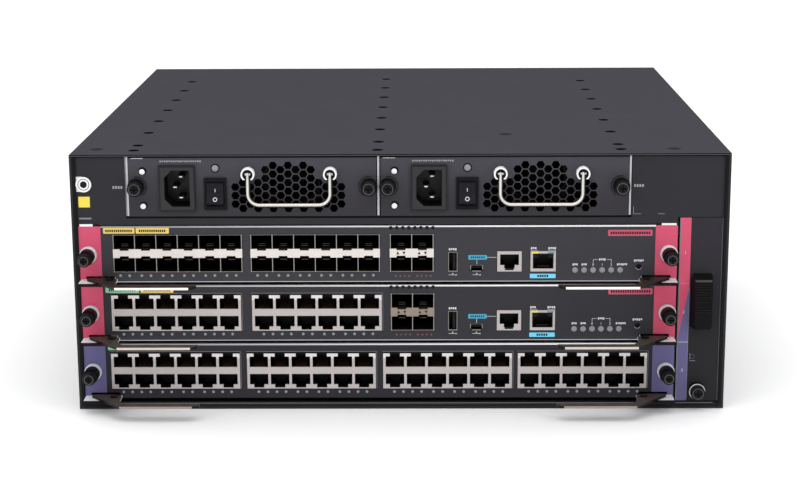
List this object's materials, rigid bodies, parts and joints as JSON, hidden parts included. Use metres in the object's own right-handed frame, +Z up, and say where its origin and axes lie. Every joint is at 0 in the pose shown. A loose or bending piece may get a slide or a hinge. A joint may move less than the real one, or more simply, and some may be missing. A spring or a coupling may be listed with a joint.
{
  "type": "modular ethernet switch",
  "caption": "Rack-mount modular ethernet switch: steel chassis with slide-in port cards, power supplies and a fan tray, all drawn out of the front.",
  "frame": {"origin": "centre of the chassis's bottom face", "axes": "+Z up, +X to the right seen from the front, +Y towards the rear panel"},
  "size_m": [0.436, 0.4492, 0.175],
  "materials": {
    "chassis_paint": "charcoal powder coat, fine texture",
    "cover_paint": "charcoal powder coat, fine texture",
    "face_paint": "charcoal paint with pink and violet end fields",
    "plated_sheet": "zinc plated sheet",
    "lever_steel": "plated steel lever",
    "nickel": "bright nickel rod",
    "brass_socket": "nickel plated brass socket",
    "black_plastic": "fine moulded texture",
    "rocker_plastic": "smooth moulded plastic",
    "knob_plastic": "smooth moulded knob on a steel shank",
    "cage_metal": "thin plated cage sheet",
    "jack_shield": "shielded jack block with a light plated face",
    "circuit_board": "green solder mask with black parts"
  },
  "bodies": {
    "chassis": {"base_tray": "chassis_paint", "top_cover": "cover_paint", "rear_panel": "chassis_paint", "front_frame": "chassis_paint", "psu_shelf": "plated_sheet", "cage_divider": "plated_sheet", "card_guides": "black_plastic", "backplane": "circuit_board", "esd_jack": "brass_socket"},
    "psu_1": {"psu_1_front": "face_paint", "psu_1_case": "plated_sheet", "psu_1_inlet": "black_plastic", "psu_1_switch_frame": "black_plastic"},
    "psu_1_handle": {"psu_1_handle": "nickel"},
    "psu_1_rocker": {"psu_1_rocker": "rocker_plastic"},
    "psu_1_screw_left": {"psu_1_screw_left": "knob_plastic"},
    "psu_1_screw_right": {"psu_1_screw_right": "knob_plastic"},
    "psu_1_fan_rotor": {"psu_1_fan_rotor": "black_plastic"},
    "psu_2": {"psu_2_front": "face_paint", "psu_2_case": "plated_sheet", "psu_2_inlet": "black_plastic", "psu_2_switch_frame": "black_plastic"},
    "psu_2_handle": {"psu_2_handle": "nickel"},
    "psu_2_rocker": {"psu_2_rocker": "rocker_plastic"},
    "psu_2_screw_left": {"psu_2_screw_left": "knob_plastic"},
    "psu_2_screw_right": {"psu_2_screw_right": "knob_plastic"},
    "psu_2_fan_rotor": {"psu_2_fan_rotor": "black_plastic"},
    "card_1": {"card_1_faceplate": "face_paint", "card_1_board": "circuit_board", "card_1_cages": "cage_metal", "card_1_service_ports": "jack_shield"},
    "card_1_lever_left": {"card_1_lever_left": "lever_steel"},
    "card_1_screw_left": {"card_1_screw_left": "knob_plastic"},
    "card_1_lever_right": {"card_1_lever_right": "lever_steel"},
    "card_1_screw_right": {"card_1_screw_right": "knob_plastic"},
    "card_1_reset": {"card_1_reset": "rocker_plastic"},
    "card_2": {"card_2_faceplate": "face_paint", "card_2_board": "circuit_board", "card_2_cages": "cage_metal", "card_2_service_ports": "jack_shield", "card_2_jacks": "jack_shield"},
    "card_2_lever_left": {"card_2_lever_left": "lever_steel"},
    "card_2_screw_left": {"card_2_screw_left": "knob_plastic"},
    "card_2_lever_right": {"card_2_lever_right": "lever_steel"},
    "card_2_screw_right": {"card_2_screw_right": "knob_plastic"},
    "card_2_reset": {"card_2_reset": "rocker_plastic"},
    "card_3": {"card_3_faceplate": "face_paint", "card_3_board": "circuit_board", "card_3_jacks": "jack_shield"},
    "card_3_lever_left": {"card_3_lever_left": "lever_steel"},
    "card_3_screw_left": {"card_3_screw_left": "knob_plastic"},
    "card_3_lever_right": {"card_3_lever_right": "lever_steel"},
    "card_3_screw_right": {"card_3_screw_right": "knob_plastic"},
    "fan_tray": {"fan_tray": "face_paint", "fan_tray_grip": "black_plastic", "fan_frames": "black_plastic"},
    "fan_tray_screw": {"fan_tray_screw": "knob_plastic"},
    "fan_rotor_1": {"fan_rotor_1": "black_plastic"},
    "fan_rotor_2": {"fan_rotor_2": "black_plastic"},
    "fan_rotor_3": {"fan_rotor_3": "black_plastic"}
  },
  "joints": [
    {"name": "psu_1_slide", "type": "slide", "parent": "chassis", "child": "psu_1", "axis": [0, -1, 0], "range_m": [0, 0.335]},
    {"name": "psu_1_handle_swing", "type": "hinge", "parent": "psu_1", "child": "psu_1_handle", "pos_m": [-0.0729, -0.2123, 0.16228], "axis": [-1, 0, 0], "range_deg": [0, 90]},
    {"name": "psu_1_rocker_tilt", "type": "hinge", "parent": "psu_1", "child": "psu_1_rocker", "pos_m": [-0.12185, -0.2084, 0.14868], "axis": [1, 0, 0], "range_deg": [0, 20]},
    {"name": "psu_1_screw_left_turn", "type": "hinge", "parent": "psu_1", "child": "psu_1_screw_left", "pos_m": [-0.1743, -0.209, 0.15334], "axis": [0, 1, 0], "continuous": true},
    {"name": "psu_1_screw_right_turn", "type": "hinge", "parent": "psu_1", "child": "psu_1_screw_right", "pos_m": [-0.0203, -0.209, 0.15334], "axis": [0, 1, 0], "continuous": true},
    {"name": "psu_1_fan_spin", "type": "hinge", "parent": "psu_1", "child": "psu_1_fan_rotor", "pos_m": [-0.0729, -0.168, 0.15284], "axis": [0, 1, 0], "continuous": true},
    {"name": "psu_2_slide", "type": "slide", "parent": "chassis", "child": "psu_2", "axis": [0, -1, 0], "range_m": [0, 0.335]},
    {"name": "psu_2_handle_swing", "type": "hinge", "parent": "psu_2", "child": "psu_2_handle", "pos_m": [0.0935, -0.2123, 0.16228], "axis": [-1, 0, 0], "range_deg": [0, 90]},
    {"name": "psu_2_rocker_tilt", "type": "hinge", "parent": "psu_2", "child": "psu_2_rocker", "pos_m": [0.04455, -0.2084, 0.14868], "axis": [1, 0, 0], "range_deg": [0, 20]},
    {"name": "psu_2_screw_left_turn", "type": "hinge", "parent": "psu_2", "child": "psu_2_screw_left", "pos_m": [-0.0079, -0.209, 0.15334], "axis": [0, 1, 0], "continuous": true},
    {"name": "psu_2_screw_right_turn", "type": "hinge", "parent": "psu_2", "child": "psu_2_screw_right", "pos_m": [0.1461, -0.209, 0.15334], "axis": [0, 1, 0], "continuous": true},
    {"name": "psu_2_fan_spin", "type": "hinge", "parent": "psu_2", "child": "psu_2_fan_rotor", "pos_m": [0.0935, -0.168, 0.15284], "axis": [0, 1, 0], "continuous": true},
    {"name": "card_1_slide", "type": "slide", "parent": "chassis", "child": "card_1", "axis": [0, -1, 0], "range_m": [0, 0.335]},
    {"name": "card_1_lever_left_swing", "type": "hinge", "parent": "card_1", "child": "card_1_lever_left", "pos_m": [-0.1929, -0.218, 0.09148], "axis": [0, 0, -1], "range_deg": [0, 50]},
    {"name": "card_1_screw_left_turn", "type": "hinge", "parent": "card_1", "child": "card_1_screw_left", "pos_m": [-0.20785, -0.209, 0.10738], "axis": [0, 1, 0], "continuous": true},
    {"name": "card_1_lever_right_swing", "type": "hinge", "parent": "card_1", "child": "card_1_lever_right", "pos_m": [0.1631, -0.218, 0.09148], "axis": [0, 0, 1], "range_deg": [0, 50]},
    {"name": "card_1_screw_right_turn", "type": "hinge", "parent": "card_1", "child": "card_1_screw_right", "pos_m": [0.1786, -0.209, 0.10738], "axis": [0, 1, 0], "continuous": true},
    {"name": "card_1_reset_press", "type": "slide", "parent": "card_1", "child": "card_1_reset", "axis": [0, 1, 0], "range_m": [0, 0.0005], "stiffness_N_per_m": 600},
    {"name": "card_2_slide", "type": "slide", "parent": "chassis", "child": "card_2", "axis": [0, -1, 0], "range_m": [0, 0.335]},
    {"name": "card_2_lever_left_swing", "type": "hinge", "parent": "card_2", "child": "card_2_lever_left", "pos_m": [-0.1929, -0.218, 0.05084], "axis": [0, 0, -1], "range_deg": [0, 50]},
    {"name": "card_2_screw_left_turn", "type": "hinge", "parent": "card_2", "child": "card_2_screw_left", "pos_m": [-0.20785, -0.209, 0.06674], "axis": [0, 1, 0], "continuous": true},
    {"name": "card_2_lever_right_swing", "type": "hinge", "parent": "card_2", "child": "card_2_lever_right", "pos_m": [0.1631, -0.218, 0.05084], "axis": [0, 0, 1], "range_deg": [0, 50]},
    {"name": "card_2_screw_right_turn", "type": "hinge", "parent": "card_2", "child": "card_2_screw_right", "pos_m": [0.1786, -0.209, 0.06674], "axis": [0, 1, 0], "continuous": true},
    {"name": "card_2_reset_press", "type": "slide", "parent": "card_2", "child": "card_2_reset", "axis": [0, 1, 0], "range_m": [0, 0.0005], "stiffness_N_per_m": 600},
    {"name": "card_3_slide", "type": "slide", "parent": "chassis", "child": "card_3", "axis": [0, -1, 0], "range_m": [0, 0.335]},
    {"name": "card_3_lever_left_swing", "type": "hinge", "parent": "card_3", "child": "card_3_lever_left", "pos_m": [-0.1929, -0.218, 0.0102], "axis": [0, 0, -1], "range_deg": [0, 50]},
    {"name": "card_3_screw_left_turn", "type": "hinge", "parent": "card_3", "child": "card_3_screw_left", "pos_m": [-0.20785, -0.209, 0.0261], "axis": [0, 1, 0], "continuous": true},
    {"name": "card_3_lever_right_swing", "type": "hinge", "parent": "card_3", "child": "card_3_lever_right", "pos_m": [0.1631, -0.218, 0.0102], "axis": [0, 0, 1], "range_deg": [0, 50]},
    {"name": "card_3_screw_right_turn", "type": "hinge", "parent": "card_3", "child": "card_3_screw_right", "pos_m": [0.1786, -0.209, 0.0261], "axis": [0, 1, 0], "continuous": true},
    {"name": "fan_tray_slide", "type": "slide", "parent": "chassis", "child": "fan_tray", "axis": [0, -1, 0], "range_m": [0, 0.39]},
    {"name": "fan_tray_screw_turn", "type": "hinge", "parent": "fan_tray", "child": "fan_tray_screw", "pos_m": [0.1996, -0.209, 0.0128], "axis": [0, 1, 0], "continuous": true},
    {"name": "fan_rotor_1_spin", "type": "hinge", "parent": "fan_tray", "child": "fan_rotor_1", "pos_m": [0.1998, -0.132, 0.072], "axis": [1, 0, 0], "continuous": true},
    {"name": "fan_rotor_2_spin", "type": "hinge", "parent": "fan_tray", "child": "fan_rotor_2", "pos_m": [0.1998, -0.013, 0.072], "axis": [1, 0, 0], "continuous": true},
    {"name": "fan_rotor_3_spin", "type": "hinge", "parent": "fan_tray", "child": "fan_rotor_3", "pos_m": [0.1998, 0.106, 0.072], "axis": [1, 0, 0], "continuous": true}
  ]
}
